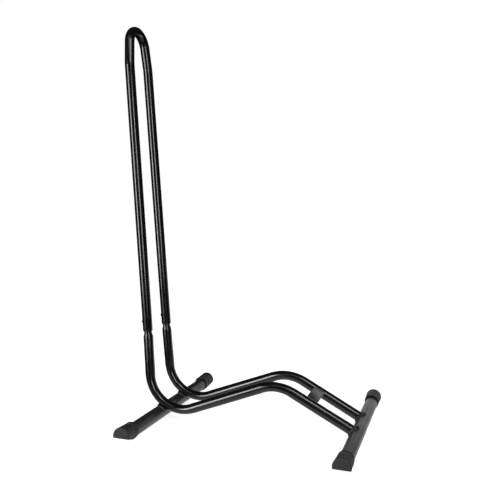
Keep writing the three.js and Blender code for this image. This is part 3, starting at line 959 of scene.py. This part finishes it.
@dataclass
class Fixings:
    """Weld beads and lock screws."""

    sizes: RackSizes
    paint: bpy.types.Material
    zinc: bpy.types.Material
    bead: float = 2.9  # radius
    bead_points: int = 240
    bead_sides: int = 20
    ripple: float = 2.3  # from crest to crest, about twice the real step so that it shows
    ripple_height: float = 0.4
    spread: float = 8.0  # half the width of a front bead's loop
    sag: float = 1.3  # by which that loop follows the round of the bar and of the bend
    screw_rise: float = 19.5  # over the hoop's end
    head: float = 3.5  # radius
    head_height: float = 1.4
    head_sides: int = 48
    head_rim: tuple[float, float] = (0.2, 0.25)  # easing of its seat, in and up
    dome_steps: int = 10
    dome: float = 0.8  # power of the cosine in its dome; under 1 is fuller than a ball
    slot_width: float = 1.0
    slot_depth: float = 0.9
    blade: tuple[float, float] = (3.0, 12.0)  # rise over the head and length of what cuts the slot
    shank: float = 2.0  # radius
    tip: float = 1.0  # length of its taper
    reach: float = 7.0  # of the shank into the leg

    def laid(self, name: str, loop: Callable[[float], Vector], node: str) -> bpy.types.Object:
        """Builds a bead along a closed loop, with the ripples of its run.

        Args:
            name: Object name.
            loop: Point of the loop at a turn in radians.
            node: The CAD node it stands for.

        Returns:
            The piece.
        """
        count = self.bead_points
        turns = [2 * math.pi * k / count for k in range(count)]
        points = [loop(turn) for turn in turns]
        length = sum((b - a).length for a, b in zip(points, points[1:] + points[:1]))
        waves = round(length / self.ripple)
        centre = sum(points, Vector()) / count
        around = [2 * math.pi * j / self.bead_sides for j in range(self.bead_sides)]
        loops = []
        for k, point in enumerate(points):
            tangent = (points[(k + 1) % count] - points[k - 1]).normalized()
            outward = point - centre
            outward = (outward - tangent * outward.dot(tangent)).normalized()
            up = outward.cross(tangent)
            r = self.bead + self.ripple_height * abs(math.sin(waves * turns[k] / 2))
            loops.append([point + (outward * math.cos(a) + up * math.sin(a)) * r for a in around])
        thing = finish_mesh(name, skin(loops, Ends.JOINED), [self.paint])
        return seat(thing, "weld_paint", node)

    def front_weld(self, side: Side) -> bpy.types.Object:
        """Lays the bead round a bottom bend's seat on the front crossbar.

        Args:
            side: The side of the rack.

        Returns:
            The piece.
        """
        s = self.sizes
        normal = Vector((math.sin(s.seat_angle), 0.0, math.cos(s.seat_angle)))
        along = Vector((normal.z, 0.0, -normal.x))
        contact = normal * (s.bar + CLEARANCE / 2)
        middle = s.place(0.0, side.value * s.offset(0.0), s.axis) + contact

        def loop(turn: float) -> Vector:
            """Point of the bead's line at a turn."""
            level = along * self.spread * math.sin(turn) + ACROSS * self.spread * math.cos(turn)
            return middle + level + normal * self.sag * math.cos(2 * turn)

        return self.laid(f"{side.word}_front_bead", loop, f"{side.word}_front_weld")

    def rear_weld(self, side: Side) -> bpy.types.Object:
        """Lays the bead round a rail's coped end on the rear crossbar.

        Args:
            side: The side of the rack.

        Returns:
            The piece.
        """
        s = self.sizes
        *_, before, end = s.rail_corners(side)
        back = (before - end).normalized()
        across = (ACROSS - back * back.y).normalized()
        upward = back.cross(across)
        reach = s.tube + CLEARANCE

        def loop(turn: float) -> Vector:
            """Point of the bead's line at a turn, where the two tubes meet."""
            point = end + across * reach * math.cos(turn) + upward * reach * math.sin(turn)
            return s.meet_bar(point, -back, s.bar + CLEARANCE)

        return self.laid(f"{side.word}_rear_bead", loop, f"{side.word}_rear_weld")

    def screw(self, side: Side) -> bpy.types.Object:
        """Builds a slotted pan-head lock screw in a leg's outer side.

        Args:
            side: The side of the rack.

        Returns:
            The piece.
        """
        s = self.sizes
        way = s.leg_way(side)
        outward = (Vector((-1, 0, 0)) + way * way.x).normalized()
        foot = s.leg(s.hoop_end, side) + way * self.screw_rise + outward * (s.tube + CLEARANCE)
        h, r = self.head_height, self.head
        rim_in, rim_up = self.head_rim
        profile = [
            (0, -self.reach),
            (self.shank / 2, -self.reach),
            (self.shank, self.tip - self.reach),
            (self.shank, 0),
            (r - rim_in, 0),
            (r, rim_up),
            (r, h / 3),
        ]
        for k in range(1, self.dome_steps):
            angle = k * math.pi / (2 * self.dome_steps)
            profile.append((r * math.cos(angle) ** self.dome, h / 3 + h * 2 / 3 * math.sin(angle)))
        profile.append((0, h))
        mesh = solid_round(profile, self.head_sides)
        thing = finish_mesh(f"{side.word}_screw", mesh, [self.zinc])
        rise, long = self.blade
        half, low = self.slot_width / 2, h - self.slot_depth
        corners = ((-half, low), (half, low), (half, h + rise), (-half, h + rise))
        blade = prism([Vector((x, y, -long / 2)) for x, y in corners], Vector((0, 0, long)))
        carve(thing, (("slot", Use.CUT, blade),))
        turn = ACROSS.rotation_difference(outward).to_matrix().to_4x4()
        thing.data.transform(Matrix.Translation(foot * MM) @ turn)
        return seat(thing, "screw_steel", f"{side.word}_lock_screw")


# --- Studio, in metres ---


@dataclass(frozen=True)
class Lamp:
    """A soft lamp."""

    name: str
    spot: tuple[float, float, float]
    aim: tuple[float, float, float]
    size: tuple[float, float]  # width and height
    power: float  # watts

    def hang(self) -> None:
        """Puts the lamp in the scene, out of the camera's sight."""
        data = bpy.data.lights.new(self.name, "AREA")
        data.shape = "RECTANGLE"
        data.size, data.size_y = self.size
        data.energy = self.power
        thing = bpy.data.objects.new(self.name, data)
        bpy.context.scene.collection.objects.link(thing)
        way = Vector(self.aim) - Vector(self.spot)
        turn = way.to_track_quat("-Z", "Y").to_matrix().to_4x4()
        thing.matrix_world = Matrix.Translation(Vector(self.spot)) @ turn
        thing.visible_camera = False


@dataclass(frozen=True)
class Glow:
    """A patch of light on the floor that the rack reflects."""

    centre: tuple[float, float]
    radii: tuple[float, float]
    strength: float  # in its middle, where 1 is white
    core: float = 0.3  # share of it that is evenly bright

    def build(
        self, tree: bpy.types.NodeTree, place: bpy.types.NodeSocket
    ) -> bpy.types.NodeSocket:
        """Adds the patch to the floor's material.

        Args:
            tree: The floor's node tree.
            place: Position on the floor.

        Returns:
            The patch's strength at the position.
        """
        centre = (*self.centre, 0.0)
        scale = (1 / self.radii[0], 1 / self.radii[1], 0.0)
        moved = add(tree, "ShaderNodeVectorMath", {0: place, 1: centre}, operation="SUBTRACT")
        scaled = add(
            tree, "ShaderNodeVectorMath", {0: moved.outputs[0], 1: scale}, operation="MULTIPLY"
        )
        far = add(tree, "ShaderNodeVectorMath", {0: scaled.outputs[0]}, operation="LENGTH")
        limits = {
            "Value": far.outputs["Value"],
            "From Min": self.core,
            "From Max": 1.0,
            "To Min": self.strength,
            "To Max": 0.0,
        }
        patch = add(tree, "ShaderNodeMapRange", limits, interpolation_type="SMOOTHSTEP")
        return patch.outputs[0]


@dataclass(frozen=True)
class Viewpoint:
    """The photographer's camera, as the straight edges of the tubes in the photograph give it."""

    sensor: float = 36.0  # width in millimetres
    lens: float = 47.415  # millimetres
    right: tuple[float, float, float] = (0.94622836, 0.32331401, 0.01095154)
    up: tuple[float, float, float] = (-0.02556271, 0.04097998, 0.99883291)
    back: tuple[float, float, float] = (0.32248788, -0.94540398, 0.0470412)
    spot: tuple[float, float, float] = (550.746, -1178.847, 404.723)  # from the front bar, in mm

    def build(self, sizes: RackSizes) -> None:
        """Sets the camera.

        Args:
            sizes: The rack's sizes, for the place of its front crossbar.
        """
        data = bpy.data.cameras.new("camera")
        data.sensor_width = self.sensor
        data.lens = self.lens
        thing = bpy.data.objects.new("camera", data)
        turn = Matrix((self.right, self.up, self.back)).transposed().to_4x4()
        spot = (Vector(self.spot) + sizes.place(0.0, 0.0, sizes.axis)) * MM
        thing.matrix_world = Matrix.Translation(spot) @ turn
        bpy.context.scene.collection.objects.link(thing)
        bpy.context.scene.camera = thing
        bpy.context.scene.view_settings.view_transform = "Standard"


@dataclass(frozen=True)
class Studio:
    """White floor and surround for the eye, and soft lamps with dark between them for the tubes."""

    floor_size: float = 30.0
    paper: str = "f3f3f3"  # sRGB hex of the floor
    near: tuple[float, float] = (0.3, 0.8)  # distance, and the paper's own glow up to there
    far: tuple[float, float] = (2.0, 1.0)  # the same from there on, out of the lamps' reach
    fill: float = 0.03  # of the surround on the rack, where 1 is white
    glows: tuple[Glow, ...] = (
        Glow((0.05, 0.0), (0.55, 0.45), 0.85),
        Glow((0.4, 1.0), (0.9, 1.1), 1.1),
        Glow((-0.75, -1.1), (0.5, 0.8), 1.2),
        Glow((0.8, -0.8), (0.4, 0.4), 0.5),
    )
    lamps: tuple[Lamp, ...] = (
        Lamp("left_strip", (-1.15, -1.6, 0.62), (-0.15, 0.0, 0.5), (0.52, 1.2), 27.0),
        Lamp("right_strip", (1.25, -1.4, 0.76), (-0.15, 0.0, 0.5), (0.42, 1.0), 13.0),
        Lamp("key", (0.85, -0.85, 1.6), (0.12, 0.0, 0.1), (0.9, 0.6), 10.0),
        Lamp("overhead", (0.0, -0.95, 1.7), (0.1, 0.0, 0.1), (0.9, 0.5), 1.7),
        Lamp("low_board", (0.2, 0.6, 0.165), (0.2, 0.0, 0.16), (0.56, 0.3), 0.5),
    )

    def looking(self, tree: bpy.types.NodeTree) -> bpy.types.NodeSocket:
        """Adds the share of rays that see the white background.

        Reflections do not: the photographed tubes have black edges, as between black flags.

        Args:
            tree: The node tree.

        Returns:
            1 for the camera's own rays, straight or through something clear.
        """
        rays = add(tree, "ShaderNodeLightPath").outputs
        sockets = {0: rays["Is Camera Ray"], 1: rays["Is Transmission Ray"]}
        return add(tree, "ShaderNodeMath", sockets, operation="MAXIMUM").outputs[0]

    def paper_sweep(self) -> bpy.types.Material:
        """Makes the floor's material: white to the eye, patches of light in reflections.

        Returns:
            The material.
        """
        material = bpy.data.materials.new("white_paper_sweep")
        material.use_nodes = True
        tree = material.node_tree
        tree.nodes.clear()
        place = add(tree, "ShaderNodeTexCoord").outputs["Object"]
        away = add(tree, "ShaderNodeVectorMath", {0: place}, operation="LENGTH")
        # The paper is lit past white for the eye; only close under the tubes does it fall below.
        limits = {
            "Value": away.outputs["Value"],
            "From Min": self.near[0],
            "From Max": self.far[0],
            "To Min": self.near[1],
            "To Max": self.far[1],
        }
        lift = add(tree, "ShaderNodeMapRange", limits).outputs[0]
        paper = add(tree, "ShaderNodeBsdfDiffuse", {"Color": linear(self.paper)})
        shine = add(tree, "ShaderNodeEmission", {"Color": linear(WHITE), "Strength": lift})
        seen = add(tree, "ShaderNodeAddShader", {0: paper.outputs[0], 1: shine.outputs[0]})
        total, *others = [glow.build(tree, place) for glow in self.glows]
        for patch in others:
            total = add(tree, "ShaderNodeMath", {0: total, 1: patch}, operation="ADD").outputs[0]
        bounced = add(tree, "ShaderNodeEmission", {"Color": linear(WHITE), "Strength": total})
        shaders = {0: self.looking(tree), 1: bounced.outputs[0], 2: seen.outputs[0]}
        mix = add(tree, "ShaderNodeMixShader", shaders)
        add(tree, "ShaderNodeOutputMaterial", {"Surface": mix.outputs[0]})
        return material

    def floor(self) -> None:
        """Builds the floor."""
        half = self.floor_size / 2
        mesh = bpy.data.meshes.new("floor")
        spots = [(-half, -half, 0), (half, -half, 0), (half, half, 0), (-half, half, 0)]
        mesh.from_pydata(spots, [], [(0, 1, 2, 3)])
        mesh.materials.append(self.paper_sweep())
        floor = bpy.data.objects.new("floor", mesh)
        bpy.context.scene.collection.objects.link(floor)

    def surround(self) -> None:
        """Builds the surround: white behind the rack to the eye, dim to everything else."""
        world = bpy.data.worlds.new("studio")
        bpy.context.scene.world = world
        world.use_nodes = True
        tree = world.node_tree
        tree.nodes.clear()
        dim, white = (
            add(tree, "ShaderNodeBackground", {"Color": linear(WHITE), "Strength": strength})
            for strength in (self.fill, 1.0)
        )
        shaders = {0: self.looking(tree), 1: dim.outputs[0], 2: white.outputs[0]}
        mix = add(tree, "ShaderNodeMixShader", shaders)
        add(tree, "ShaderNodeOutputWorld", {"Surface": mix.outputs[0]})

    def build(self) -> None:
        """Builds the floor, the surround and the lamps."""
        self.floor()
        self.surround()
        for lamp in self.lamps:
            lamp.hang()


# --- Assembly ---


def main() -> None:
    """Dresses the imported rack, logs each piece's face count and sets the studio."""
    logging.basicConfig(level=logging.INFO, format="%(message)s")
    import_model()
    low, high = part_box("front_crossbar")
    sizes = RackSizes(front=(low.x + high.x) / 2 / MM, axis=(low.z + high.z) / 2 / MM)
    gloss, satin, weld = GLOSS.build(), SATIN.build(), WELD.build()
    plastic, zinc, bore = PLASTIC.build(), ZINC.build(), BORE.build()
    tubes = Tubes(sizes, gloss, bore)
    bars = Crossbars(sizes, satin, bore)
    caps = EndCap(sizes, plastic)
    fixings = Fixings(sizes, weld, zinc)
    pieces = [
        tubes.hoop(),
        bars.bar("front_crossbar", 0.0),
        bars.bar("rear_crossbar", sizes.wheelbase),
        bars.plate(),
    ]
    for side in Side:
        pieces += [
            tubes.rail(side),
            fixings.front_weld(side),
            fixings.rear_weld(side),
            fixings.screw(side),
            caps.build(f"{side.word}_front_cap", 0.0, side),
            caps.build(f"{side.word}_rear_cap", sizes.wheelbase, side),
        ]
    for piece in pieces:
        log.info("%s: %d faces", piece.name, len(piece.data.polygons))
    Studio().build()
    Viewpoint().build(sizes)


if __name__ == "__main__":
    main()
